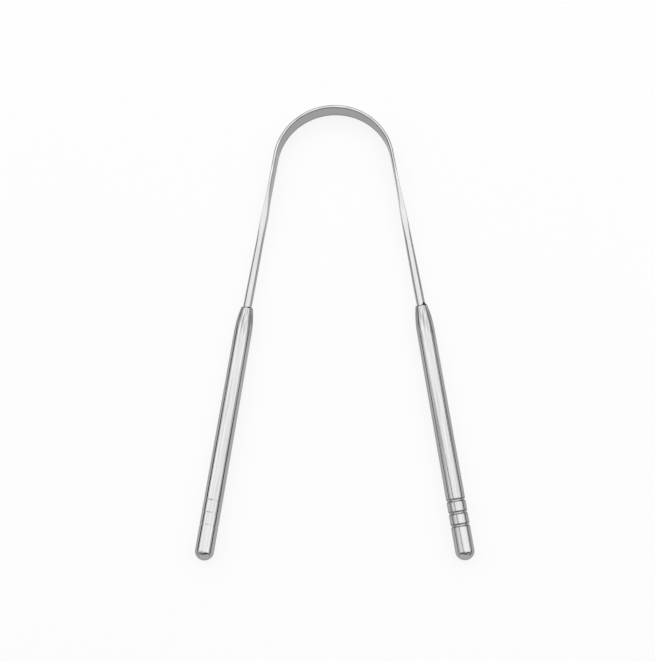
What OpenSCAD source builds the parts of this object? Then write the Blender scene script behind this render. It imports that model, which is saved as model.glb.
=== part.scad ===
// Tongue scraper: one round steel rod, bent to a bow and pressed flat round its crown,
// with both ends swaged into hollow steel handles.
// It lies flat on a table. The crown points along +Y, the handles along -Y, and +Z is up.

/* [Bow] */
// Outside radius of the crown's bend
crown_r = 20.2; // [16:0.1:25]
// Straight length of each leg, from the crown's bend to the mouth of its handle
leg_len = 52.9; // [40:0.1:70]
// Angle that each leg leans out from the centre line, in degrees
leg_splay = 9.8; // [6:0.1:14]
// Diameter of the round rod
rod_d = 2.8; // [2.4:0.1:3.2]

/* [Scraping band] */
// Thickness of the band, where the rod is pressed flat
band_t = 0.9; // [0.7:0.05:1.3]
// Radius of the corners along the band's ground edges
band_corner = 0.2; // [0.1:0.01:0.3]
// Length of each leg that is still flat band
band_run = 7.5; // [4:0.5:12]
// Thickness at the shoulder, where the press lets go of the rod
shoulder_t = 2; // [1.6:0.05:2.3]
// Length over which the band narrows to its shoulder
shoulder_run = 14; // [10:0.5:18]
// Length of each leg whose edges are ground flat along with the band's
ground_run = 21; // [12:0.5:24]
// Length over which the ground edges round off into the rod
rounding_run = 10; // [6:0.5:12]

/* [Handles] */
// Length of a handle's tube, from its mouth to the foot of its domed end
barrel_len = 79.5; // [70:0.1:100]
// Diameter of the barrel at the rear
barrel_d = 6; // [5.4:0.1:7]
// Diameter of the barrel just behind the tapered nose
waist_d = 5.8; // [5.2:0.1:6.8]
// Angle that each handle leans out from the centre line, in degrees
handle_splay = 8.9; // [6:0.1:14]
// Wall thickness of the tube
tube_wall = 0.5; // [0.35:0.05:0.7]
// Length of the nose that is swaged down to the rod
nose_len = 8.5; // [6:0.5:12]
// Wall thickness round the rod at the mouth
mouth_wall = 0.5; // [0.35:0.05:0.6]
// Length of the mouth that grips the rod
grip_len = 3.5; // [2:0.5:5]
// Length of rod held inside each handle
tail_len = 12; // [8:0.5:20]

/* [Rolled grooves] */
// Number of grooves round each handle
groove_count = 3; // [1:1:3]
// Distance from the last groove to the end of the barrel
groove_rear = 8.3; // [7:0.1:12]
// Spacing of the grooves
groove_pitch = 3.9; // [2.5:0.1:5]
// Depth of the right handle's grooves
right_groove_depth = 0.28; // [0.04:0.01:0.4]
// Depth of the left handle's grooves, which are rolled in more lightly
left_groove_depth = 0.06; // [0.04:0.01:0.4]
// Width of a groove at the surface
groove_w = 0.95; // [0.7:0.05:1.3]

/* [Domed ends] */
// Height of the domed end, from the end of the barrel to its tip
dome_h = 2.5; // [1.8:0.1:2.6]
// How much of the dome is the tube's own rounded edge, measured along the handle
dome_rim = 0.55; // [0.3:0.05:0.9]
// Length of the cap's plug inside the tube
plug_len = 5; // [3:0.5:6]

/* [Hidden] */

// Running clearance all round between the rod and the grip of the handle
rod_clear = 0.03;
// Clearance all round between the cap's plug and the tube
plug_clear = 0.03;
// Bevel on the end of the plug and on the ends of the rod
lead_in = 0.3;
// Countersink round the rod in the mouth of the handle
mouth_sink = 0.1;
// Share of the mouth's wall that its rounded lip takes up
lip_share = 0.7;
// Bevel on each side of the seam between the tube and its cap
seam_bevel = 0.13;
// How far a cut runs past the surface that it opens
overrun = 1;

// Facets of a full turn, points of each quarter of the rod's section, rings of each stretch, and
// facets of the mouth's lip
turn_fn = 96;
arc_fn = 720;
quarter_ring = 5;
crown_rings = 22;
leg_rings = 22;
lip_steps = 4;

rod_r = rod_d / 2;
rod_area = PI * rod_r * rod_r;
barrel_r = barrel_d / 2;
waist_r = waist_d / 2;
bore_r = barrel_r - tube_wall;
grip_r = rod_r + rod_clear;
mouth_r = grip_r + mouth_wall;
tube_len = barrel_len + dome_rim;

// The press spreads the rod, and the area of its section stays that of the round rod. So the
// width w follows from the thickness t, and the thickness from the width.
corner_loss = 1 - PI / 4;
function pressed_w(t) = (rod_area + corner_loss * t * t) / t;
function pressed_t(w) = (w - sqrt(w * w - 4 * corner_loss * rod_area)) / (2 * corner_loss);
band_w = pressed_w(band_t);
shoulder_w = pressed_w(shoulder_t);

// The crown is one arc. Each half of it turns through bend_a, and then the leg runs straight.
bend_a = 90 - leg_splay;
bend_r = crown_r - band_t / 2;
bend_end = [bend_r * sin(bend_a), bend_r * cos(bend_a)];
leg_dir = [sin(leg_splay), -cos(leg_splay)];
mouth = bend_end + leg_len * leg_dir;
handle_dir = [sin(handle_splay), -cos(handle_splay)];

// The dome is part of a sphere through the end of the barrel and the tip.
dome_r = (barrel_r * barrel_r + dome_h * dome_h) / (2 * dome_h);
dome_z = barrel_len + dome_h - dome_r;

// The origin is below the middle of the object's length, on the surface that the band's edge rests on.
rear_y = (mouth + dome_z * handle_dir)[1] - dome_r;
mid_y = (crown_r + rear_y) / 2;
mid_z = band_w / 2;

// Thickness of the pressed rod at distance s down the leg: flat band, then a shoulder where its
// width eases down, then a long draw back to the full rod at the mouth of the handle.
function ease(u) = let (v = min(max(u, 0), 1)) v * v * (3 - 2 * v);
function mix(a, b, u) = a + (b - a) * u;
shoulder_end = band_run + shoulder_run;
function leg_t(s) =
    s < shoulder_end ? pressed_t(mix(band_w, shoulder_w, ease((s - band_run) / shoulder_run))) :
    mix(shoulder_t, rod_d, sin(90 * (s - shoulder_end) / (leg_len - shoulder_end)));

// Radius of the section's corners at distance s down the leg. At the end they make it round.
function leg_corner(s) = mix(band_corner, leg_t(s) / 2, ease((s - ground_run) / rounding_run));

// A station of the rod is [x, y, heading, thickness, width, corner radius], with the heading 0 at
// the crown's top.
crown_stations = [for (i = [0 : crown_rings])
    let (a = bend_a * i / crown_rings)
    [bend_r * sin(a), bend_r * cos(a), a, band_t, band_w, band_corner]];

leg_stations = [for (i = [0 : leg_rings - 1])
    let (s = mix(band_run, leg_len, i / leg_rings), p = bend_end + s * leg_dir, t = leg_t(s))
    [p[0], p[1], bend_a, t, pressed_w(t), leg_corner(s)]];

// In the mouth the rod turns by the small difference between the leg's lean and the handle's.
// The tail is round, and its end is bevelled.
tail_marks = [
    [0, (leg_splay + handle_splay) / 2, rod_d],
    [tail_len - lead_in, handle_splay, rod_d],
    [tail_len, handle_splay, rod_d - 2 * lead_in]];
tail_stations = [for (m = tail_marks)
    let (p = mouth + m[0] * handle_dir)
    [p[0], p[1], 90 - m[1], m[2], m[2], m[2] / 2]];

half_path = concat(crown_stations, leg_stations, tail_stations);
function mirrored(st) = [-st[0], st[1], -st[2], st[3], st[4], st[5]];
path = concat(
    [for (i = [len(half_path) - 1 : -1 : 1]) mirrored(half_path[i])],
    half_path);

// One ring of the loft: four quarter rounds, moved apart by the flats between them. Their facets
// lie outside the true round, so that the ring reaches the full thickness and width.
function ring(st) =
    let (reach = st[5] / cos(45 / quarter_ring), out_flat = st[3] / 2 - st[5], up_flat = st[4] / 2 - st[5])
    [for (k = [0 : 4 * quarter_ring - 1])
        let (a = 90 * (k + 0.5) / quarter_ring,
            out = reach * cos(a) + sign(cos(a)) * out_flat,
            up = reach * sin(a) + sign(sin(a)) * up_flat)
        [st[0] + out * sin(st[2]), st[1] + out * cos(st[2]), up]];

// Loft through a list of rings with the same number of points, closed at both ends.
module loft(rings) {
    n = len(rings[0]);
    last = len(rings) - 1;
    sides = [for (i = [0 : last - 1], k = [0 : n - 1])
        let (a = i * n + k, b = i * n + (k + 1) % n)
        each [[a, b, a + n], [b, b + n, a + n]]];
    ends = [
        [for (k = [n - 1 : -1 : 0]) k],
        [for (k = [0 : n - 1]) last * n + k]];
    polyhedron(points = [for (r = rings) each r], faces = concat(sides, ends), convexity = 8);
}

// Places a handle's parts: their own +Z runs from the mouth towards the domed end.
module on_handle(side) {
    translate([side * mouth[0], mouth[1] - mid_y, mid_z])
        rotate([90, 0, side * handle_splay])
            children();
}

// The nose is an ogive: one arc that leaves the barrel smoothly and ends at the mouth.
nose_drop = waist_r - mouth_r;
nose_r = (nose_len * nose_len + nose_drop * nose_drop) / (2 * nose_drop);

module nose_arc(inset) {
    translate([waist_r - nose_r, nose_len])
        circle(r = nose_r - inset, $fn = arc_fn);
}

// The lip of the mouth rounds from its face into the nose, about the centre [lip_c, lip_r]. It turns
// through lip_turn in short facets, and the last one runs on out through the nose's arc.
lip_r = lip_share * mouth_wall;
lip_c = waist_r - nose_r + sqrt(pow(nose_r - lip_r, 2) - pow(nose_len - lip_r, 2));
lip_turn = 60;
function lip_point(a) = [lip_c + lip_r * sin(a), lip_r - lip_r * cos(a)];

// A groove is rolled in with a round wheel, which leaves a bead on the inside of the tube.
function groove_r(depth) = (groove_w * groove_w / 4 + depth * depth) / (2 * depth);

module groove_rounds(depth, outset) {
    for (i = [0 : groove_count - 1])
        translate([barrel_r - depth + groove_r(depth), barrel_len - groove_rear - i * groove_pitch])
            circle(r = groove_r(depth) + outset, $fn = turn_fn);
}

// The barrel's faint taper ends just before the first groove.
taper_end = barrel_len - groove_rear - (groove_count - 1) * groove_pitch - groove_w;

// Radius of the dome where the tube ends and the cap begins.
seam_r = sqrt(dome_r * dome_r - pow(tube_len - dome_z, 2));

module dome_arc() {
    translate([0, dome_z])
        circle(r = dome_r, $fn = arc_fn);
}

// Outside of the tube: nose, barrel and the rounded rear edge.
module tube_outside() {
    intersection() {
        nose_arc(0);
        polygon(concat(
            [[0, nose_len], [0, 0]],
            [for (i = [0 : lip_steps]) lip_point(lip_turn * i / lip_steps)],
            [lip_point(lip_turn) + lip_r * [cos(lip_turn), sin(lip_turn)]],
            [[waist_r, lip_r], [waist_r, nose_len]]));
    }
    polygon([
        [0, nose_len],
        [waist_r, nose_len],
        [barrel_r, taper_end],
        [barrel_r, barrel_len],
        [0, barrel_len]]);
    intersection() {
        dome_arc();
        polygon([
            [0, barrel_len],
            [barrel_r, barrel_len],
            [barrel_r, tube_len - seam_bevel],
            [seam_r, tube_len - seam_bevel],
            [seam_r - seam_bevel, tube_len],
            [0, tube_len]]);
    }
}

// Hollow of the tube, behind the grip.
module tube_inside() {
    intersection() {
        nose_arc(tube_wall);
        translate([0, grip_len])
            square([waist_r, nose_len - grip_len]);
    }
    polygon([
        [0, nose_len],
        [waist_r - tube_wall, nose_len],
        [bore_r, taper_end],
        [bore_r, tube_len + overrun],
        [0, tube_len + overrun]]);
}

// Way in for the rod, with its countersink at the mouth.
module rod_way() {
    translate([0, -overrun])
        square([grip_r, grip_len + 2 * overrun]);
    polygon([
        [0, -overrun],
        [grip_r + mouth_sink + overrun, -overrun],
        [grip_r, mouth_sink],
        [0, mouth_sink]]);
}

module handle_tube(groove_depth) {
    rotate_extrude($fn = turn_fn)
        difference() {
            union() {
                difference() {
                    tube_outside();
                    tube_inside();
                }
                intersection() {
                    groove_rounds(groove_depth, tube_wall);
                    square([barrel_r, tube_len]);
                }
            }
            groove_rounds(groove_depth, 0);
            rod_way();
        }
}

// The cap is a turned dome with a plug that is pressed into the tube.
module end_cap() {
    plug_r = bore_r - plug_clear;
    rotate_extrude($fn = turn_fn) {
        intersection() {
            dome_arc();
            polygon([
                [0, tube_len],
                [seam_r - seam_bevel, tube_len],
                [seam_r, tube_len + seam_bevel],
                [seam_r, barrel_len + dome_h],
                [0, barrel_len + dome_h]]);
        }
        polygon([
            [0, tube_len - plug_len],
            [plug_r - lead_in, tube_len - plug_len],
            [plug_r, tube_len - plug_len + lead_in],
            [plug_r, tube_len],
            [0, tube_len]]);
    }
}

module bow() {
    color("lightgray")
        translate([0, -mid_y, mid_z])
            loft([for (st = path) ring(st)]);
}

module left_handle() {
    color("silver") on_handle(-1) handle_tube(left_groove_depth);
}

module right_handle() {
    color("silver") on_handle(1) handle_tube(right_groove_depth);
}

module left_end_cap() {
    color("darkgray") on_handle(-1) end_cap();
}

module right_end_cap() {
    color("darkgray") on_handle(1) end_cap();
}

bow();
left_handle();
right_handle();
left_end_cap();
right_end_cap();
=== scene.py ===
# A tongue scraper: one steel rod, bent to a bow and pressed flat round its crown, with both ends
# swaged into hollow steel handles. It lies flat on a pale studio table.
import math

import bmesh
import bpy
from mathutils import Matrix, Vector, noise


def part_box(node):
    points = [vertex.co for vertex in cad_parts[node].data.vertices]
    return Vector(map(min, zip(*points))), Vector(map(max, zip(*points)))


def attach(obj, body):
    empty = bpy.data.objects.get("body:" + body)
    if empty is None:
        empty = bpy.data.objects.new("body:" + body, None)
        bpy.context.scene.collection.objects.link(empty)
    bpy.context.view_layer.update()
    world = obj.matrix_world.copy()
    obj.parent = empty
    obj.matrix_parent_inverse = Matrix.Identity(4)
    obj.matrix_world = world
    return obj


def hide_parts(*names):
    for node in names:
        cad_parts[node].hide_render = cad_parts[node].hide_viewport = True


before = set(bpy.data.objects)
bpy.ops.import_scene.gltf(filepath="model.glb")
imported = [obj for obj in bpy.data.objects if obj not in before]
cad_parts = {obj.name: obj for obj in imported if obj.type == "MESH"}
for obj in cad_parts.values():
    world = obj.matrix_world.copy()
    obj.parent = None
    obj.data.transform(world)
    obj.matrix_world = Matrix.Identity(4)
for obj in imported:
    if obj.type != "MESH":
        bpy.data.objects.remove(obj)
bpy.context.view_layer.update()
MM = 0.001

# The camera stands where the photograph was taken: above the handles' rear half and a little to
# the right, so that the inner face of the crown shows.
photo_w, photo_h = 655, 661
bow_low, bow_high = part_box("bow")
aim_at = Vector((0, 0, (bow_low.z + bow_high.z) / 2))
aim_px = Vector((333.9, 325.3))
camera_pitch = 0.213
camera_yaw = 0.053
camera_far = 380 * MM
camera_near = 10 * MM
focal_px = 1168
sensor_mm = 36

camera = bpy.data.objects.new("camera", bpy.data.cameras.new("camera"))
bpy.context.scene.collection.objects.link(camera)
bpy.context.scene.camera = camera
camera.matrix_world = (
    Matrix.Translation(aim_at)
    @ Matrix.Rotation(camera_yaw, 4, "Y")
    @ Matrix.Rotation(camera_pitch, 4, "X")
    @ Matrix.Translation((0, 0, camera_far)))
camera.data.sensor_width = sensor_mm
camera.data.lens = focal_px * sensor_mm / photo_h
camera.data.shift_x = (photo_w / 2 - aim_px.x) / photo_h
camera.data.shift_y = (aim_px.y - photo_h / 2) / photo_h
camera.data.clip_start = camera_near


# The table is a wide sheet of matt white board, which fades into the white room far from the
# scraper. Both stay white in the steel. The board keeps the soft shadow that the scraper throws.
board_white = "#F3F3F3"
board_w = 4.0
# Seen directly, the board is lifted this far towards the room's white, and wholly past fade_far.
board_lift = 0.85
fade_near = 0.5
fade_far = 1.8
# The room's brightness as light on matt things. Seen directly, it is 1.
room_fill = 0.6


def linear(code):
    """Linear colour of an sRGB hex code."""
    parts = [int(code[i:i + 2], 16) / 255 for i in (1, 3, 5)]
    return [p / 12.92 if p <= 0.04045 else ((p + 0.055) / 1.055) ** 2.4 for p in parts] + [1]


def add_node(tree, kind, inputs=None, **settings):
    """Adds a node. Each input is a value, or the output that feeds it."""
    made = tree.nodes.new(kind)
    for name, value in settings.items():
        setattr(made, name, value)
    for name, value in (inputs or {}).items():
        if isinstance(value, bpy.types.NodeSocket):
            tree.links.new(value, made.inputs[name])
        else:
            made.inputs[name].default_value = value
    return made


def seen_directly(tree):
    """1 for what the camera, a reflection or glass sees, and 0 for light that falls on matt things."""
    path = add_node(tree, "ShaderNodeLightPath")
    both = add_node(tree, "ShaderNodeMath", {
        0: path.outputs["Is Camera Ray"], 1: path.outputs["Is Glossy Ray"]}, operation="ADD")
    return add_node(tree, "ShaderNodeMath", {
        0: both.outputs[0], 1: path.outputs["Is Transmission Ray"]},
        operation="ADD", use_clamp=True).outputs[0]


def new_material(name):
    """A material with an empty node tree."""
    material = bpy.data.materials.new(name)
    material.use_nodes = True
    material.node_tree.nodes.clear()
    return material


def add_object(name, bm, material):
    """Closes a bmesh into an object that stands at the origin."""
    mesh = bpy.data.meshes.new(name)
    bm.to_mesh(mesh)
    bm.free()
    mesh.materials.append(material)
    made = bpy.data.objects.new(name, mesh)
    bpy.context.scene.collection.objects.link(made)
    return made


board = new_material("matt_white_board")
tree = board.node_tree
matt = add_node(tree, "ShaderNodeBsdfDiffuse", {"Color": linear(board_white)})
glow = add_node(tree, "ShaderNodeEmission", {"Color": linear("#FFFFFF"), "Strength": 1.0})
from_middle = add_node(tree, "ShaderNodeVectorMath", {
    0: add_node(tree, "ShaderNodeTexCoord").outputs["Object"]}, operation="LENGTH").outputs["Value"]
lift = add_node(tree, "ShaderNodeMapRange", {
    "Value": from_middle, "From Min": fade_near, "From Max": fade_far, "To Min": board_lift}).outputs[0]
share = add_node(tree, "ShaderNodeMath", {0: seen_directly(tree), 1: lift}, operation="MULTIPLY")
mixed = add_node(tree, "ShaderNodeMixShader", {
    0: share.outputs[0], 1: matt.outputs[0], 2: glow.outputs[0]})
add_node(tree, "ShaderNodeOutputMaterial", {"Surface": mixed.outputs[0]})
bm = bmesh.new()
bmesh.ops.create_grid(bm, x_segments=1, y_segments=1, size=board_w / 2)
floor = add_object("table_board", bm, board)

room = bpy.data.worlds.new("white_room")
bpy.context.scene.world = room
room.use_nodes = True
tree = room.node_tree
tree.nodes.clear()
strength = add_node(tree, "ShaderNodeMapRange", {
    "Value": seen_directly(tree), "To Min": room_fill, "To Max": 1.0})
sky = add_node(tree, "ShaderNodeBackground", {
    "Color": linear("#FFFFFF"), "Strength": strength.outputs[0]})
add_node(tree, "ShaderNodeOutputWorld", {"Surface": sky.outputs[0]})


# Two wide softboxes hang side by side over the far side of the table, each a little brighter along its
# near edge, which is straight above the scraper, and a dimmer panel hangs to their left. Their black
# hems, a black flag and the black cards round the table draw the dark lines in the steel.
box_height = 0.9
box_meet = (-0.42, -0.042)
box_deep = 1.7
box_level = 1.08
left_box_w = 1.15
left_box_turn = math.radians(-4.5)
left_edge_w = 0.08
left_edge_level = 0.35
left_hem_w = 0.035
right_box_w = 1.9
right_box_turn = math.radians(-12)
right_edge_w = 0.12
right_edge_level = 0.16
right_hem_w = 0.02
panel_low = (-1.58, -0.36)
panel_high = (-0.36, -0.09)
panel_level = 0.5
side_card_x = 1.2
left_split_y = 0.09
left_card_h = 0.3
left_near_card_h = 0.17
right_split_y = 0.14
right_near_y = -0.08
right_card_h = 0.24
right_middle_card_h = 0.18
right_near_card_h = 0.28
far_card_y = 1.7
far_card_h = 0.45
near_card_y = -0.6
near_card_low = 0.4
near_card_high = 0.99
flag_x = 1.5
flag_y = 0.4
flag_w = 0.5
flag_deep = 1.2
card_half = 1.5
card_t = 1 * MM
card_black = "#101010"

overhead = Matrix.Translation((0, 0, box_height))
meet = overhead @ Matrix.Translation((*box_meet, 0))
left_hang = meet @ Matrix.Rotation(left_box_turn, 4, "Z")
right_hang = meet @ Matrix.Rotation(right_box_turn, 4, "Z")
for name, low, high, level, hung in (
        ("left_box", (-left_box_w, 0), (0, box_deep), box_level, left_hang),
        ("left_box_edge", (-left_box_w, 0), (0, left_edge_w), left_edge_level, left_hang),
        ("right_box", (0, 0), (right_box_w, box_deep), box_level, right_hang),
        ("right_box_edge", (0, 0), (right_box_w, right_edge_w), right_edge_level, right_hang),
        ("side_panel", panel_low, panel_high, panel_level, overhead)):
    lamp = bpy.data.objects.new(name, bpy.data.lights.new(name, "AREA"))
    bpy.context.scene.collection.objects.link(lamp)
    lamp.data.shape = "RECTANGLE"
    lamp.data.size = high[0] - low[0]
    lamp.data.size_y = high[1] - low[1]
    # A lamp's face shows its power over pi times its area, and the white room adds to it.
    lamp.data.energy = level * math.pi * lamp.data.size * lamp.data.size_y
    middle = Vector(((low[0] + high[0]) / 2, (low[1] + high[1]) / 2, 0))
    lamp.matrix_world = hung @ Matrix.Translation(middle)

# Black velvet on the cards and hems swallows the light, so the steel mirrors them as dark lines.
velvet = new_material("black_velvet")
tree = velvet.node_tree
matt = add_node(tree, "ShaderNodeBsdfDiffuse", {"Color": linear(card_black)})
add_node(tree, "ShaderNodeOutputMaterial", {"Surface": matt.outputs[0]})
on_table = Matrix()
cards = [(name, (x, near, 0), (x + card_t, far, tall), on_table) for name, x, near, far, tall in (
    ("left_card", -side_card_x, left_split_y, card_half, left_card_h),
    ("left_near_card", -side_card_x, -card_half, left_split_y, left_near_card_h),
    ("right_card", side_card_x, right_split_y, card_half, right_card_h),
    ("right_middle_card", side_card_x, right_near_y, right_split_y, right_middle_card_h),
    ("right_near_card", side_card_x, -card_half, right_near_y, right_near_card_h))]
cards += [
    ("left_hem", (-left_box_w, -left_hem_w, 0), (0, 0, card_t), left_hang),
    ("right_hem", (0, -right_hem_w, 0), (right_box_w, 0, card_t), right_hang),
    ("corner_flag", (flag_x, flag_y, -card_t), (flag_x + flag_w, flag_y + flag_deep, 0), overhead),
    ("far_card", (-card_half, far_card_y, 0), (card_half, far_card_y + card_t, far_card_h), on_table),
    ("near_card", (-card_half, near_card_y, near_card_low),
     (card_half, near_card_y + card_t, near_card_high), on_table)]
for name, low, high, hung in cards:
    bm = bmesh.new()
    block = bmesh.ops.create_cube(bm, size=1)["verts"]
    bmesh.ops.scale(bm, vec=Vector(high) - Vector(low), verts=block)
    bmesh.ops.translate(bm, vec=(Vector(low) + Vector(high)) / 2, verts=block)
    bmesh.ops.transform(bm, matrix=hung, verts=block)
    card = add_object(name, bm, velvet)
    card.visible_camera = False


# The bow is one round rod of stainless steel. It is pressed flat round its crown, which makes the
# scraping band, bent to a U, and drawn back to the full round along both legs.
crown_r = 20.2 * MM
leg_len = 52.9 * MM
leg_splay = math.radians(9.8)
handle_splay = math.radians(8.9)
rod_d = 2.8 * MM
band_t = 0.9 * MM
band_corner = 0.2 * MM
band_run = 7.5 * MM
shoulder_t = 2 * MM
shoulder_run = 14 * MM
ground_run = 21 * MM
rounding_run = 10 * MM
tail_len = 12 * MM
lead_in = 0.3 * MM
# The corners carry painted shade round the crown, the inner ones less at its top. Down the legs it fades
# out.
outer_shade_run = 12 * MM
inner_shade_run = 26 * MM
inner_shade_least = 0.5
ring_sides = 48
edge_cuts = 4
face_cuts = 6
crown_steps = 110
leg_steps = 60
sharp_turn = math.radians(35)

bend_r = crown_r - band_t / 2
bend_a = math.pi / 2 - leg_splay
bend_centre = Vector((0, bow_high.y - crown_r, (bow_low.z + bow_high.z) / 2))
bend_end = bend_centre + bend_r * Vector((math.sin(bend_a), math.cos(bend_a), 0))
leg_dir = Vector((math.sin(leg_splay), -math.cos(leg_splay), 0))
mouth = bend_end + leg_len * leg_dir
handle_dir = Vector((math.sin(handle_splay), -math.cos(handle_splay), 0))


def pressed_width(thick):
    """Width of the rod once it is pressed to a thickness, with its area kept."""
    return thick + math.pi * (rod_d ** 2 - thick ** 2) / 4 / thick


def pressed_thickness(width):
    """Thickness of the rod once it is pressed to a width, with its area kept."""
    area, lost = math.pi * rod_d ** 2 / 4, 1 - math.pi / 4
    return (width - math.sqrt(width ** 2 - 4 * lost * area)) / (2 * lost)


def ease(u):
    """A smooth rise from 0 to 1 while u goes from 0 to 1."""
    u = min(max(u, 0), 1)
    return u * u * (3 - 2 * u)


def leg_section(s):
    """Thickness, width and corner radius of the rod at a distance down the leg, and how much
    painted shade its outer and inner corners have."""
    if s < band_run + shoulder_run:
        band_w, shoulder_w = pressed_width(band_t), pressed_width(shoulder_t)
        width = band_w + (shoulder_w - band_w) * ease((s - band_run) / shoulder_run)
        thick = pressed_thickness(width)
    else:
        drawn = (s - band_run - shoulder_run) / (leg_len - band_run - shoulder_run)
        thick = shoulder_t + (rod_d - shoulder_t) * math.sin(math.pi / 2 * drawn)
        width = pressed_width(thick)
    rounded = ease((s - ground_run) / rounding_run)
    corner = band_corner + (thick / 2 - band_corner) * rounded
    return thick, width, corner, 1 - ease(s / outer_shade_run), 1 - ease(s / inner_shade_run)


# Stations along the right half of the rod. Each has its place, its heading, how far it is along the
# rod from the top of the crown, and its section.
stations = []
for i in range(crown_steps + 1):
    turn = bend_a * i / crown_steps
    inner_shade = inner_shade_least + (1 - inner_shade_least) * ease(2 * i / crown_steps - 1)
    stations.append((bend_centre + bend_r * Vector((math.sin(turn), math.cos(turn), 0)), turn,
                     bend_r * turn, (band_t, pressed_width(band_t), band_corner, 1, inner_shade)))
leg_start = bend_r * bend_a
for i in range(1, leg_steps):
    s = leg_len * i / leg_steps
    stations.append((bend_end + s * leg_dir, bend_a, leg_start + s, leg_section(s)))
into_handle = math.pi / 2 - (leg_splay + handle_splay) / 2
tail_turn = math.pi / 2 - handle_splay
for s, turn, d in ((0, into_handle, rod_d), (tail_len - lead_in, tail_turn, rod_d),
                   (tail_len, tail_turn, rod_d - 2 * lead_in)):
    stations.append((mouth + s * handle_dir, turn, leg_start + leg_len + s, (d, d, d / 2, 0, 0)))


def rod_ring(bm, place, turn, run, section):
    """One ring of the rod: a circle of the corners' radius, with its quarters moved apart. On the
    left half of the rod the inner corners never get the full painted shade."""
    thick, width, corner, outer_shade, inner_shade = section
    if run < 0:
        inner_shade = min(inner_shade, inner_shade_least)
    ring = bmesh.ops.create_circle(bm, segments=ring_sides, radius=corner)["verts"]
    half_step = Matrix.Rotation(math.pi / ring_sides, 3, "Z")
    bmesh.ops.rotate(bm, cent=(0, 0, 0), matrix=half_step, verts=ring)
    sides = {e for v in ring for e in v.link_edges}
    across = [e for e in sides if e.verts[0].co.x * e.verts[1].co.x < 0]
    upright = [e for e in sides if e.verts[0].co.y * e.verts[1].co.y < 0]
    for v in ring:
        v[painted_corner_shade] = outer_shade if v.co.x > 0 else inner_shade
        v.co.x += math.copysign(thick / 2 - corner, v.co.x)
        v.co.y += math.copysign(width / 2 - corner, v.co.y)
    for edge, cuts in [(e, edge_cuts) for e in across] + [(e, face_cuts) for e in upright]:
        start = edge.verts[0]
        for cuts_left in range(cuts, 0, -1):
            start = bmesh.utils.edge_split(edge, start, 1 / (cuts_left + 1))[1]
            start[painted_corner_shade] = 0
            ring.append(start)
    for v in ring:
        v[rod_place] = (v.co.x, v.co.y, run)
    out = Vector((math.sin(turn), math.cos(turn), 0))
    along = Vector((math.cos(turn), -math.sin(turn), 0))
    axes = Matrix((out, (0, 0, 1), along)).transposed().to_4x4()
    bmesh.ops.transform(bm, matrix=Matrix.Translation(place) @ axes, verts=ring)
    return list({e for v in ring for e in v.link_edges})


bm = bmesh.new()
painted_corner_shade = bm.verts.layers.float.new("painted_corner_shade")
rod_place = bm.verts.layers.float_vector.new("rod_place")
left_half = [(Vector((-place.x, place.y, place.z)), -turn, -run, section)
             for place, turn, run, section in stations[:0:-1]]
rings = [rod_ring(bm, *station) for station in left_half + stations]
for ring, following in zip(rings, rings[1:]):
    bmesh.ops.bridge_loops(bm, edges=ring + following)
for ring in (rings[0], rings[-1]):
    bmesh.ops.edgeloop_fill(bm, edges=ring)
bmesh.ops.recalc_face_normals(bm, faces=bm.faces)
for face in bm.faces:
    face.smooth = True

# Stainless steel rod, pressed and then polished along its length: it mirrors the room softly, with
# faint lines along the rod, painted glints along the ground edges and painted shade on the corners.
# Real polishing lines are about 0.05 mm wide. These are as coarse as they need to be to show.
line_w = 0.35 * MM
line_len = 14 * MM
line_dark = "#A0A0A0"
line_pale = "#B0B0B0"
line_relief = 0.002 * MM
rod_smooth = 0.15
rod_dull = 0.21
# The painted glints lie on faces that look this much up or down, and fade out between two distances.
edge_from = 0.75
edge_full = 0.95
glint_len = 7 * MM
glint_shift = 3.2
# Painted highlight: pale glints and dim patches along the ground edges near the crown, for their
# changing reflection.
glint_dark = "#8C8C8C"
glint_pale = "#C0C0C0"
glint_share = 0.6
glint_end = 32 * MM
glint_gone = 45 * MM
# Painted shade: the rod's corners are darkened towards this grey, for the dark lines that they mirror.
corner_shade_grey = "#404040"
grazing_grey = "#D9D9D9"
# A noise node's values are blended over a wide span for soft lines, and a narrow one for crisp ones.
soft_low = 0.3
soft_high = 0.7
crisp_low = 0.35
crisp_high = 0.65

rod_steel = new_material("polished_pressed_steel")
tree = rod_steel.node_tree
place = add_node(tree, "ShaderNodeAttribute", attribute_name="rod_place").outputs["Vector"]
corners = add_node(tree, "ShaderNodeAttribute", attribute_name="painted_corner_shade").outputs["Fac"]
lines = add_node(tree, "ShaderNodeTexNoise", {
    "Vector": add_node(tree, "ShaderNodeMapping", {
        "Vector": place, "Scale": (1 / line_w, 1 / line_w, 1 / line_len)}).outputs[0],
    "Scale": 1, "Detail": 3, "Roughness": 0.55}).outputs["Fac"]
glint_noise = add_node(tree, "ShaderNodeTexNoise", {
    "Vector": add_node(tree, "ShaderNodeMapping", {
        "Vector": place, "Location": (0, 0, glint_shift), "Scale": (0, 0, 1 / glint_len)}).outputs[0],
    "Scale": 1, "Detail": 1}).outputs["Fac"]
facing = add_node(tree, "ShaderNodeSeparateXYZ", {
    0: add_node(tree, "ShaderNodeTexCoord").outputs["Normal"]}).outputs["Z"]
up_or_down = add_node(tree, "ShaderNodeMath", {0: facing}, operation="ABSOLUTE").outputs[0]
on_edge = add_node(tree, "ShaderNodeMapRange", {
    "Value": up_or_down, "From Min": edge_from, "From Max": edge_full}).outputs[0]
along_rod = add_node(tree, "ShaderNodeSeparateXYZ", {0: place}).outputs["Z"]
from_crown = add_node(tree, "ShaderNodeMath", {0: along_rod}, operation="ABSOLUTE").outputs[0]
near_crown = add_node(tree, "ShaderNodeMapRange", {
    "Value": from_crown, "From Min": glint_gone, "From Max": glint_end,
    "To Max": glint_share}).outputs[0]
glint_mask = add_node(tree, "ShaderNodeMath", {
    0: on_edge, 1: near_crown}, operation="MULTIPLY").outputs[0]
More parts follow.
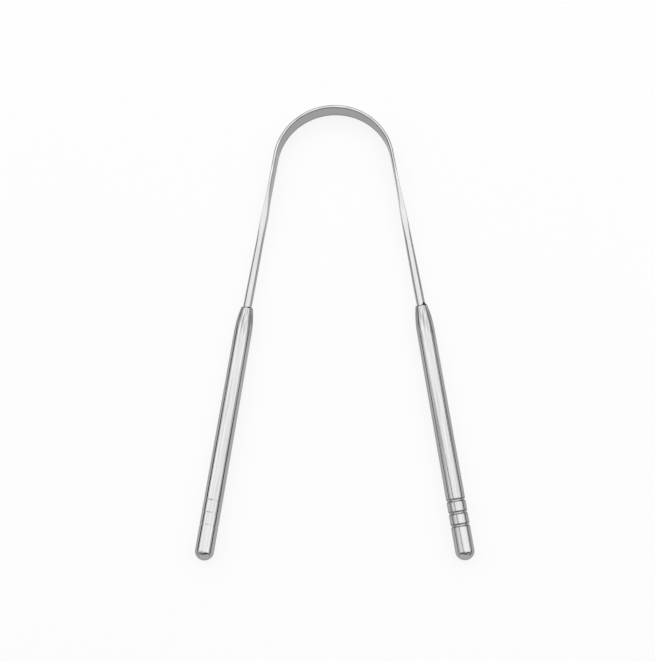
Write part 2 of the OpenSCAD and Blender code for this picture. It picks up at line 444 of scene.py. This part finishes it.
lined = add_node(tree, "ShaderNodeMix", {
    "Factor": add_node(tree, "ShaderNodeMapRange", {
        "Value": lines, "From Min": soft_low, "From Max": soft_high}).outputs[0],
    "A": linear(line_dark), "B": linear(line_pale)}, data_type="RGBA").outputs["Result"]
# Painted glints and dim patches on the ground edges near the crown.
glinted = add_node(tree, "ShaderNodeMix", {
    "Factor": add_node(tree, "ShaderNodeMapRange", {
        "Value": glint_noise, "From Min": crisp_low, "From Max": crisp_high}).outputs[0],
    "A": linear(glint_dark), "B": linear(glint_pale)}, data_type="RGBA").outputs["Result"]
ground = add_node(tree, "ShaderNodeMix", {
    "Factor": glint_mask, "A": lined, "B": glinted}, data_type="RGBA").outputs["Result"]
# Painted shade: the corners are darkened towards a dark grey, for the dark lines that they mirror.
tone = add_node(tree, "ShaderNodeMix", {
    "Factor": corners, "A": ground, "B": linear(corner_shade_grey)}, data_type="RGBA").outputs["Result"]
dulled = add_node(tree, "ShaderNodeMapRange", {
    "Value": lines, "From Min": soft_low, "From Max": soft_high,
    "To Min": rod_smooth, "To Max": rod_dull}).outputs[0]
relief = add_node(tree, "ShaderNodeBump", {"Height": lines, "Distance": line_relief}).outputs[0]
shader = add_node(tree, "ShaderNodeBsdfPrincipled", {
    "Base Color": tone, "Metallic": 1, "Roughness": dulled, "Normal": relief,
    "Specular Tint": linear(grazing_grey)})
add_node(tree, "ShaderNodeOutputMaterial", {"Surface": shader.outputs[0]})
bow = add_object("steel_bow", bm, rod_steel)
bow.data.set_sharp_from_angle(angle=sharp_turn)
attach(bow, "root")
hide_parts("bow")


# Each handle is a hollow tube of stainless steel. Its nose is swaged down onto the rod, and three
# grooves are rolled in near the rear for grip.
barrel_len = 79.5 * MM
barrel_r = 3 * MM
waist_r = 2.9 * MM
tube_wall = 0.5 * MM
nose_len = 8.5 * MM
grip_len = 3.5 * MM
rod_clear = 0.03 * MM
mouth_wall = 0.5 * MM
mouth_sink = 0.1 * MM
lip_r = 0.35 * MM
groove_count = 3
groove_rear = 8.3 * MM
groove_pitch = 3.9 * MM
right_groove_depth = 0.28 * MM
left_groove_depth = 0.06 * MM
groove_w = 0.95 * MM
dome_h = 2.5 * MM
dome_rim = 0.55 * MM
seam_bevel = 0.06 * MM
# The dies' flats: how deep, wide and long they are, and how far behind the nose they fade out.
flat_depth = 0.012 * MM
flat_w = 0.35 * MM
flat_len = 3 * MM
flat_fade = 3 * MM
# The left grooves' faintest part, as a share of their depth, and their patches, to a radius.
faint_share = 0.2
faint_patches = 1.6
# The painted shade in the middle of a right-hand groove, as a share of that at its edges, and the play
# in finding an edge.
groove_shade_middle = 0.3
groove_play = 0.02
turn_steps = 160
lip_steps = 8
nose_steps = 40
groove_steps = 12
rim_steps = 8
outline_step = 0.3 * MM
merge_gap = 1e-7

grip_r = rod_d / 2 + rod_clear
mouth_r = grip_r + mouth_wall
bore_r = barrel_r - tube_wall
tube_len = barrel_len + dome_rim
taper_end = barrel_len - groove_rear - (groove_count - 1) * groove_pitch - groove_w
dome_r = (barrel_r ** 2 + dome_h ** 2) / (2 * dome_h)
dome_z = barrel_len + dome_h - dome_r
seam_r = math.sqrt(dome_r ** 2 - (tube_len - dome_z) ** 2)


def arc(centre, radius, start, end, steps):
    """Points along an arc, as distances from the axis and along it."""
    turns = [math.radians(start + (end - start) * i / steps) for i in range(steps + 1)]
    return [(centre[0] + radius * math.cos(a), centre[1] + radius * math.sin(a)) for a in turns]


def finely(points, step):
    """The same outline, with points no further apart than a step."""
    fine = []
    for (r, s), (r2, s2) in zip(points, points[1:]):
        parts = math.ceil(math.hypot(r2 - r, s2 - s) / step)
        fine += [(r + (r2 - r) * i / parts, s + (s2 - s) * i / parts) for i in range(parts)]
    return fine + [points[-1]]


def spun(points, closed):
    """Spins an outline about a handle's axis, with its mouth at the origin and its upper side
    along +X."""
    bm = bmesh.new()
    verts = [bm.verts.new((r, 0, s)) for r, s in points]
    edges = [bm.edges.new(pair) for pair in zip(verts, verts[1:])]
    if closed:
        edges.append(bm.edges.new((verts[-1], verts[0])))
    bmesh.ops.spin(bm, geom=verts + edges, cent=(0, 0, 0), axis=(0, 0, 1),
                   angle=2 * math.pi, steps=turn_steps, use_merge=True)
    bmesh.ops.remove_doubles(bm, verts=bm.verts, dist=merge_gap)
    bmesh.ops.recalc_face_normals(bm, faces=bm.faces)
    for face in bm.faces:
        face.smooth = True
    return bm


def barrel_place(co):
    """The point of a full-radius barrel that lies straight out from a point of the turned piece."""
    return Vector((co.x, co.y, 0)).normalized() * barrel_r + Vector((0, 0, co.z))


def on_handle(bm, side):
    """Keeps each point's place on the turned piece, and sets the piece on its handle's axis."""
    turned_place = bm.verts.layers.float_vector.new("turned_place")
    for v in bm.verts:
        v[turned_place] = barrel_place(v.co)
    axis = Vector((side * handle_dir.x, handle_dir.y, 0))
    up = Vector((0, 0, 1))
    axes = Matrix((up, axis.cross(up), axis)).transposed().to_4x4()
    start = Vector((side * mouth.x, mouth.y, mouth.z))
    bmesh.ops.transform(bm, matrix=Matrix.Translation(start) @ axes, verts=bm.verts)
    return bm


nose_drop = waist_r - mouth_r
nose_r = (nose_len ** 2 + nose_drop ** 2) / (2 * nose_drop)
lip_c = waist_r - nose_r + math.sqrt((nose_r - lip_r) ** 2 - (nose_len - lip_r) ** 2)
lip_a = math.degrees(math.asin((nose_len - lip_r) / (nose_r - lip_r)))
seam_a = math.degrees(math.asin((tube_len - seam_bevel - dome_z) / dome_r))
rim_a = math.degrees(math.asin((barrel_len - dome_z) / dome_r))


def tube_outline(groove_depth):
    """Outline of the tube's wall, round its mouth, nose, grooves, rear edge and bore."""
    groove_r = (groove_w ** 2 / 4 + groove_depth ** 2) / (2 * groove_depth)
    groove_a = math.degrees(math.asin(groove_w / 2 / groove_r))
    outline = [(grip_r, mouth_sink), (grip_r + mouth_sink, 0)]
    outline += arc((lip_c, lip_r), lip_r, -90, -lip_a, lip_steps)
    outline += arc((waist_r - nose_r, nose_len), nose_r, -lip_a, 0, nose_steps)[1:]
    outline.append((barrel_r, taper_end))
    for i in reversed(range(groove_count)):
        centre = (barrel_r - groove_depth + groove_r, barrel_len - groove_rear - i * groove_pitch)
        outline += arc(centre, groove_r, 180 + groove_a, 180 - groove_a, groove_steps)
    outline += arc((0, dome_z), dome_r, rim_a, seam_a, rim_steps)
    outline += [(seam_r - seam_bevel, tube_len), (bore_r, tube_len), (bore_r, nose_len)]
    return outline + [(grip_r, grip_len)]


def swage(bm, side):
    """Leaves the shallow flats of the swaging dies on the outside of the nose."""
    bm.normal_update()
    for v in bm.verts:
        outside = v.normal.x * v.co.x + v.normal.y * v.co.y > 0
        faded = 1 - ease((v.co.z - nose_len) / flat_fade)
        if outside and faded > 0:
            place = barrel_place(v.co)
            in_flats = Vector((place.x / flat_w, place.y / flat_w + side, place.z / flat_len))
            lump = noise.noise(in_flats)
            shrink = 1 - flat_depth * faded * (0.5 + lump) / math.hypot(v.co.x, v.co.y)
            v.co.x *= shrink
            v.co.y *= shrink


def wear_grooves(bm):
    """Lets the lightly rolled grooves fade in and out on their way round the tube."""
    for v in bm.verts:
        r = math.hypot(v.co.x, v.co.y)
        if taper_end < v.co.z < barrel_len and barrel_r - tube_wall / 2 < r < barrel_r:
            groove = round((barrel_len - groove_rear - v.co.z) / groove_pitch)
            turn = Vector((v.co.x, v.co.y, 0)) / r
            patch = noise.noise(turn * faint_patches + Vector((0, 0, groove)))
            left = faint_share + (1 - faint_share) * ease(0.5 + patch)
            grown = (barrel_r - (barrel_r - r) * left) / r
            v.co.x *= grown
            v.co.y *= grown


def shade_grooves(bm):
    """Marks the deep grooves for painted shade, most of all at their edges."""
    groove_shade = bm.verts.layers.float.new("groove_shade")
    for v in bm.verts:
        groove = (barrel_len - groove_rear - v.co.z) / groove_pitch
        off = abs(groove - round(groove)) * groove_pitch / (groove_w / 2)
        if round(groove) in range(groove_count) and off < 1 + groove_play:
            v[groove_shade] = groove_shade_middle + (1 - groove_shade_middle) * off ** 2


# Stainless steel tube, drawn, swaged at its nose and polished along its length: bright, with long
# faint streaks, painted shade in the grooves, and short dull and bright streaks where the dies closed
# the nose.
# Real draw lines are about 0.05 mm wide. These streaks are as coarse as they need to be to show.
streak_w = 0.5 * MM
streak_len = 25 * MM
streak_dark = "#9C9C9C"
streak_pale = "#B4B4B4"
tube_smooth = 0.09
tube_dull = 0.14
tube_relief = 0.004 * MM
nose_streak_w = 0.28 * MM
nose_streak_len = 6 * MM
nose_streak_end = 15 * MM
nose_streak_low = 0.38
nose_streak_high = 0.62
nose_dark = "#6C6C6C"
nose_pale = "#BEBEBE"
nose_dulling = 0.16
# Painted shade: the deep grooves are darkened towards this grey.
groove_shade_grey = "#787878"

tube_steel = new_material("polished_drawn_tube")
tree = tube_steel.node_tree
place = add_node(tree, "ShaderNodeAttribute", attribute_name="turned_place").outputs["Vector"]
streaks = add_node(tree, "ShaderNodeTexNoise", {
    "Vector": add_node(tree, "ShaderNodeMapping", {
        "Vector": place, "Scale": (1 / streak_w, 1 / streak_w, 1 / streak_len)}).outputs[0],
    "Scale": 1, "Detail": 3, "Roughness": 0.6}).outputs["Fac"]
nose_streaks = add_node(tree, "ShaderNodeTexNoise", {
    "Vector": add_node(tree, "ShaderNodeMapping", {
        "Vector": place,
        "Scale": (1 / nose_streak_w, 1 / nose_streak_w, 1 / nose_streak_len)}).outputs[0],
    "Scale": 1, "Detail": 1}).outputs["Fac"]
on_nose = add_node(tree, "ShaderNodeMapRange", {
    "Value": add_node(tree, "ShaderNodeSeparateXYZ", {0: place}).outputs["Z"],
    "From Min": nose_streak_end, "From Max": 0}, interpolation_type="SMOOTHSTEP").outputs[0]
drawn = add_node(tree, "ShaderNodeMix", {
    "Factor": add_node(tree, "ShaderNodeMapRange", {
        "Value": streaks, "From Min": crisp_low, "From Max": crisp_high}).outputs[0],
    "A": linear(streak_dark), "B": linear(streak_pale)}, data_type="RGBA").outputs["Result"]
swaged = add_node(tree, "ShaderNodeMix", {
    "Factor": add_node(tree, "ShaderNodeMapRange", {
        "Value": nose_streaks, "From Min": nose_streak_low, "From Max": nose_streak_high}).outputs[0],
    "A": linear(nose_dark), "B": linear(nose_pale)}, data_type="RGBA").outputs["Result"]
plain = add_node(tree, "ShaderNodeMix", {
    "Factor": on_nose, "A": drawn, "B": swaged}, data_type="RGBA").outputs["Result"]
groove_shading = add_node(tree, "ShaderNodeAttribute", attribute_name="groove_shade").outputs["Fac"]
# Painted shade in the deep grooves, darkest at their edges.
tone = add_node(tree, "ShaderNodeMix", {
    "Factor": groove_shading, "A": plain, "B": linear(groove_shade_grey)}, data_type="RGBA").outputs["Result"]
drawn_dull = add_node(tree, "ShaderNodeMapRange", {
    "Value": streaks, "From Min": soft_low, "From Max": soft_high,
    "To Min": tube_smooth, "To Max": tube_dull}).outputs[0]
dulled = add_node(tree, "ShaderNodeMath", {
    0: on_nose, 1: nose_dulling, 2: drawn_dull}, operation="MULTIPLY_ADD").outputs[0]
relief = add_node(tree, "ShaderNodeBump", {"Height": streaks, "Distance": tube_relief}).outputs[0]
shader = add_node(tree, "ShaderNodeBsdfPrincipled", {
    "Base Color": tone, "Metallic": 1, "Roughness": dulled, "Normal": relief,
    "Specular Tint": linear(grazing_grey)})
add_node(tree, "ShaderNodeOutputMaterial", {"Surface": shader.outputs[0]})
for side, word, depth in ((-1, "left", left_groove_depth), (1, "right", right_groove_depth)):
    bm = spun(finely(tube_outline(depth), outline_step), closed=True)
    swage(bm, side)
    if side < 0:
        wear_grooves(bm)
    else:
        shade_grooves(bm)
    tube = add_object(word + "_handle_tube", on_handle(bm, side), tube_steel)
    tube.data.set_sharp_from_angle(angle=sharp_turn)
    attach(tube, "root")
    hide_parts(word + "_handle")


# A dark, matt, mottled piece sits in the corner between each mouth and its rod: a thin film round
# the rod, painted shade for the crevice there, which climbs the rod in a small dark wedge on one side.
crevice_film = 0.06 * MM
crevice_w = 0.55 * MM
crevice_steps = 6
mottle = 0.15 * MM
mottle_relief = mottle / 4
# Painted shade: near-black for the crevice between mouth and rod.
crevice_dark = "#101010"
crevice_pale = "#282828"
crevice_rough = 0.6
crevice_shine = 0.2

mouth_shade_material = new_material("painted_crevice_shade")
tree = mouth_shade_material.node_tree
mottling = add_node(tree, "ShaderNodeTexNoise", {
    "Vector": add_node(tree, "ShaderNodeTexCoord").outputs["Object"], "Scale": 1 / mottle}).outputs["Fac"]
# Painted shade for the crevice round the rod at each mouth.
tone = add_node(tree, "ShaderNodeMix", {
    "Factor": mottling,
    "A": linear(crevice_dark), "B": linear(crevice_pale)}, data_type="RGBA").outputs["Result"]
relief = add_node(tree, "ShaderNodeBump", {"Height": mottling, "Distance": mottle_relief}).outputs[0]
shader = add_node(tree, "ShaderNodeBsdfPrincipled", {
    "Base Color": tone, "Roughness": crevice_rough, "Specular IOR Level": crevice_shine, "Normal": relief})
add_node(tree, "ShaderNodeOutputMaterial", {"Surface": shader.outputs[0]})
rod_r = rod_d / 2
slope = [(rod_r + crevice_w * (1 - i / crevice_steps), -crevice_film * i / crevice_steps)
         for i in range(crevice_steps + 1)]
ridge = [(rod_r - crevice_film, lip_r), (rod_r + crevice_w, lip_r / 2)]
ridge += slope + [(rod_r - crevice_film, -crevice_film)]
# Each wedge's middle and spread round the rod, in degrees, and how far it climbs the rod.
for side, word, peak, spread, height in (
        (-1, "left", -30, 25, 0.3 * MM),
        (1, "right", -46, 28, 1.1 * MM)):
    bm = spun(ridge, closed=True)
    for v in bm.verts:
        off = (math.degrees(math.atan2(v.co.y, v.co.x)) - peak) / spread
        up_rod = min(max(-v.co.z / crevice_film, 0), 1)
        v.co.z -= height * math.exp(-off * off) * up_rod
    mouth_shade_piece = add_object(word + "_mouth_crevice_shade", on_handle(bm, side), mouth_shade_material)
    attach(mouth_shade_piece, "root")


# Each handle ends in a turned steel cap. Its plug is pressed into the tube, and its dome carries on
# the rounded edge of the tube.
plug_len = 5 * MM
plug_clear = 0.03 * MM
plug_r = bore_r - plug_clear
plug_end = tube_len - plug_len
dome_steps = 24

cap_outline = [(0, plug_end), (plug_r - lead_in, plug_end), (plug_r, plug_end + lead_in),
               (plug_r, tube_len), (seam_r - seam_bevel, tube_len)]
cap_a = math.degrees(math.asin((tube_len + seam_bevel - dome_z) / dome_r))
cap_outline += arc((0, dome_z), dome_r, cap_a, 90, dome_steps)

# Stainless steel, turned and polished: faint rings round its tip, which are finer on the real cap.
ring_w = 0.25 * MM
ring_dark = "#A0A0A0"
ring_pale = "#ACACAC"
cap_smooth = 0.12
cap_dull = 0.18
ring_relief = 0.002 * MM

cap_steel = new_material("polished_turned_steel")
tree = cap_steel.node_tree
place = add_node(tree, "ShaderNodeAttribute", attribute_name="turned_place").outputs["Vector"]
turned = add_node(tree, "ShaderNodeTexNoise", {
    "Vector": add_node(tree, "ShaderNodeMapping", {
        "Vector": place, "Scale": (0, 0, 1 / ring_w)}).outputs[0],
    "Scale": 1, "Detail": 3, "Roughness": 0.6}).outputs["Fac"]
tone = add_node(tree, "ShaderNodeMix", {
    "Factor": add_node(tree, "ShaderNodeMapRange", {
        "Value": turned, "From Min": soft_low, "From Max": soft_high}).outputs[0],
    "A": linear(ring_dark), "B": linear(ring_pale)}, data_type="RGBA").outputs["Result"]
dulled = add_node(tree, "ShaderNodeMapRange", {
    "Value": turned, "From Min": soft_low, "From Max": soft_high,
    "To Min": cap_smooth, "To Max": cap_dull}).outputs[0]
relief = add_node(tree, "ShaderNodeBump", {"Height": turned, "Distance": ring_relief}).outputs[0]
shader = add_node(tree, "ShaderNodeBsdfPrincipled", {
    "Base Color": tone, "Metallic": 1, "Roughness": dulled, "Normal": relief,
    "Specular Tint": linear(grazing_grey)})
add_node(tree, "ShaderNodeOutputMaterial", {"Surface": shader.outputs[0]})
for side, word in ((-1, "left"), (1, "right")):
    bm = on_handle(spun(cap_outline, closed=False), side)
    cap = add_object(word + "_domed_cap", bm, cap_steel)
    cap.data.set_sharp_from_angle(angle=sharp_turn)
    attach(cap, "root")
    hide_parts(word + "_end_cap")

bpy.context.scene.view_settings.view_transform = "Standard"
